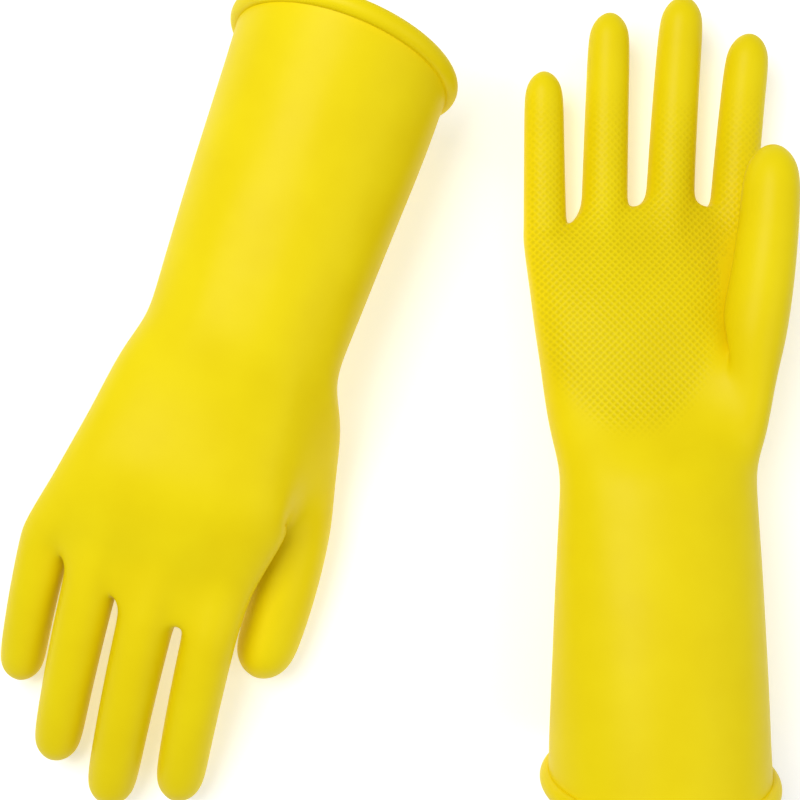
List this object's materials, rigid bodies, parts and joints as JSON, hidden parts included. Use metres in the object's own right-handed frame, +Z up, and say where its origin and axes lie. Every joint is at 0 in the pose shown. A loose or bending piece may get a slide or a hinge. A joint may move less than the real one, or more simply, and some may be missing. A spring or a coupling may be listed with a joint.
{
  "type": "rubber gloves",
  "caption": "Household rubber gloves lying flat, one palm up and one palm down, with rolled cuffs and bending fingers.",
  "frame": {"origin": "on the table, under the middle of the box around both gloves", "axes": "+Z up from the table; +Y along the palm-up glove from its cuff to its fingertips; +X from the palm-down glove towards the palm-up one"},
  "size_m": [0.3012, 0.312, 0.0767],
  "materials": {
    "rubber": "satin",
    "bead": "satin"
  },
  "bodies": {
    "palm_up_gauntlet": {"palm_up_gauntlet": "rubber", "palm_up_cuff_bead": "bead"},
    "palm_up_hand": {"palm_up_hand": "rubber"},
    "palm_up_little_base": {"palm_up_little_base": "rubber"},
    "palm_up_little_tip": {"palm_up_little_tip": "rubber"},
    "palm_up_ring_base": {"palm_up_ring_base": "rubber"},
    "palm_up_ring_tip": {"palm_up_ring_tip": "rubber"},
    "palm_up_middle_base": {"palm_up_middle_base": "rubber"},
    "palm_up_middle_tip": {"palm_up_middle_tip": "rubber"},
    "palm_up_index_base": {"palm_up_index_base": "rubber"},
    "palm_up_index_tip": {"palm_up_index_tip": "rubber"},
    "palm_up_thumb_base": {"palm_up_thumb_base": "rubber"},
    "palm_up_thumb_tip": {"palm_up_thumb_tip": "rubber"},
    "palm_down_gauntlet": {"palm_down_gauntlet": "rubber", "palm_down_cuff_bead": "bead"},
    "palm_down_hand": {"palm_down_hand": "rubber"},
    "palm_down_little_base": {"palm_down_little_base": "rubber"},
    "palm_down_little_tip": {"palm_down_little_tip": "rubber"},
    "palm_down_ring_base": {"palm_down_ring_base": "rubber"},
    "palm_down_ring_tip": {"palm_down_ring_tip": "rubber"},
    "palm_down_middle_base": {"palm_down_middle_base": "rubber"},
    "palm_down_middle_tip": {"palm_down_middle_tip": "rubber"},
    "palm_down_index_base": {"palm_down_index_base": "rubber"},
    "palm_down_index_tip": {"palm_down_index_tip": "rubber"},
    "palm_down_thumb_base": {"palm_down_thumb_base": "rubber"},
    "palm_down_thumb_tip": {"palm_down_thumb_tip": "rubber"}
  },
  "joints": [
    {"name": "palm_up_wrist", "type": "hinge", "parent": "palm_up_gauntlet", "child": "palm_up_hand", "pos_m": [0.10094, -0.02515, 0.0584], "axis": [1, 0, 0], "range_deg": [0, 30], "stiffness_Nm_per_rad": 0.05},
    {"name": "palm_up_little_root", "type": "hinge", "parent": "palm_up_hand", "child": "palm_up_little_base", "pos_m": [0.0608, 0.07483, 0.02149], "axis": [0.9998, 0.0186, 0], "range_deg": [0, 60], "stiffness_Nm_per_rad": 0.02},
    {"name": "palm_up_little_bend", "type": "hinge", "parent": "palm_up_little_base", "child": "palm_up_little_tip", "pos_m": [0.06042, 0.09423, 0.02292], "axis": [0.9998, 0.0215, 0], "range_deg": [0, 75], "stiffness_Nm_per_rad": 0.01},
    {"name": "palm_up_ring_root", "type": "hinge", "parent": "palm_up_hand", "child": "palm_up_ring_base", "pos_m": [0.08407, 0.08242, 0.02277], "axis": [0.9999, -0.0165, 0], "range_deg": [0, 60], "stiffness_Nm_per_rad": 0.02},
    {"name": "palm_up_ring_bend", "type": "hinge", "parent": "palm_up_ring_base", "child": "palm_up_ring_tip", "pos_m": [0.08446, 0.10853, 0.02401], "axis": [0.9999, -0.0135, 0], "range_deg": [0, 75], "stiffness_Nm_per_rad": 0.01},
    {"name": "palm_up_middle_root", "type": "hinge", "parent": "palm_up_hand", "child": "palm_up_middle_base", "pos_m": [0.10968, 0.08548, 0.02322], "axis": [0.999, -0.0445, 0], "range_deg": [0, 60], "stiffness_Nm_per_rad": 0.02},
    {"name": "palm_up_middle_bend", "type": "hinge", "parent": "palm_up_middle_base", "child": "palm_up_middle_tip", "pos_m": [0.11095, 0.11316, 0.02421], "axis": [0.9989, -0.0476, 0], "range_deg": [0, 75], "stiffness_Nm_per_rad": 0.01},
    {"name": "palm_up_index_root", "type": "hinge", "parent": "palm_up_hand", "child": "palm_up_index_base", "pos_m": [0.13429, 0.08186, 0.02346], "axis": [0.998, -0.0631, 0], "range_deg": [0, 35], "stiffness_Nm_per_rad": 0.02},
    {"name": "palm_up_index_bend", "type": "hinge", "parent": "palm_up_index_base", "child": "palm_up_index_tip", "pos_m": [0.13587, 0.10571, 0.02488], "axis": [0.9976, -0.0693, 0], "range_deg": [0, 75], "stiffness_Nm_per_rad": 0.01},
    {"name": "palm_up_thumb_root", "type": "hinge", "parent": "palm_up_hand", "child": "palm_up_thumb_base", "pos_m": [0.14882, 0.03767, 0.04296], "axis": [0, 0.1062, -0.9943], "range_deg": [0, 40], "stiffness_Nm_per_rad": 0.02},
    {"name": "palm_up_thumb_bend", "type": "hinge", "parent": "palm_up_thumb_base", "child": "palm_up_thumb_tip", "pos_m": [0.15075, 0.06363, 0.04498], "axis": [0, 0.0421, -0.9991], "range_deg": [0, 50], "stiffness_Nm_per_rad": 0.01},
    {"name": "palm_down_wrist", "type": "hinge", "parent": "palm_down_gauntlet", "child": "palm_down_hand", "pos_m": [-0.05355, 0.02057, 0.0669], "axis": [-0.9426, 0.3338, 0], "range_deg": [0, 30], "stiffness_Nm_per_rad": 0.05},
    {"name": "palm_down_little_root", "type": "hinge", "parent": "palm_down_hand", "child": "palm_down_little_base", "pos_m": [-0.13208, -0.06116, 0.03671], "axis": [-0.9598, 0.2807, 0], "range_deg": [0, 60], "stiffness_Nm_per_rad": 0.02},
    {"name": "palm_down_little_bend", "type": "hinge", "parent": "palm_down_little_base", "child": "palm_down_little_tip", "pos_m": [-0.13765, -0.0806, 0.02987], "axis": [-0.9622, 0.2725, 0], "range_deg": [0, 75], "stiffness_Nm_per_rad": 0.01},
    {"name": "palm_down_ring_root", "type": "hinge", "parent": "palm_down_hand", "child": "palm_down_ring_base", "pos_m": [-0.11426, -0.07574, 0.04085], "axis": [-0.9641, 0.2655, 0], "range_deg": [0, 60], "stiffness_Nm_per_rad": 0.02},
    {"name": "palm_down_ring_bend", "type": "hinge", "parent": "palm_down_ring_base", "child": "palm_down_ring_tip", "pos_m": [-0.12156, -0.10262, 0.03328], "axis": [-0.9657, 0.2595, 0], "range_deg": [0, 75], "stiffness_Nm_per_rad": 0.01},
    {"name": "palm_down_middle_root", "type": "hinge", "parent": "palm_down_hand", "child": "palm_down_middle_base", "pos_m": [-0.09286, -0.08867, 0.04231], "axis": [-0.9665, 0.2566, 0], "range_deg": [0, 60], "stiffness_Nm_per_rad": 0.02},
    {"name": "palm_down_middle_bend", "type": "hinge", "parent": "palm_down_middle_base", "child": "palm_down_middle_tip", "pos_m": [-0.1004, -0.1176, 0.03439], "axis": [-0.9686, 0.2487, 0], "range_deg": [0, 75], "stiffness_Nm_per_rad": 0.01},
    {"name": "palm_down_index_root", "type": "hinge", "parent": "palm_down_hand", "child": "palm_down_index_base", "pos_m": [-0.06923, -0.0955, 0.04126], "axis": [-0.9692, 0.2461, 0], "range_deg": [0, 60], "stiffness_Nm_per_rad": 0.02},
    {"name": "palm_down_index_bend", "type": "hinge", "parent": "palm_down_index_base", "child": "palm_down_index_tip", "pos_m": [-0.07565, -0.12166, 0.03327], "axis": [-0.9726, 0.2327, 0], "range_deg": [0, 75], "stiffness_Nm_per_rad": 0.01},
    {"name": "palm_down_thumb_root", "type": "hinge", "parent": "palm_down_hand", "child": "palm_down_thumb_base", "pos_m": [-0.02377, -0.05958, 0.01689], "axis": [-0.0342, -0.0966, 0.9947], "range_deg": [0, 40], "stiffness_Nm_per_rad": 0.02},
    {"name": "palm_down_thumb_bend", "type": "hinge", "parent": "palm_down_thumb_base", "child": "palm_down_thumb_tip", "pos_m": [-0.03031, -0.08322, 0.01446], "axis": [-0.0317, -0.0896, 0.9955], "range_deg": [0, 50], "stiffness_Nm_per_rad": 0.01},
    {"name": "palm_down_lift", "type": "slide", "parent": "palm_up_gauntlet", "child": "palm_down_gauntlet", "axis": [0, 0, 1], "range_m": [0, 0.15]}
  ]
}
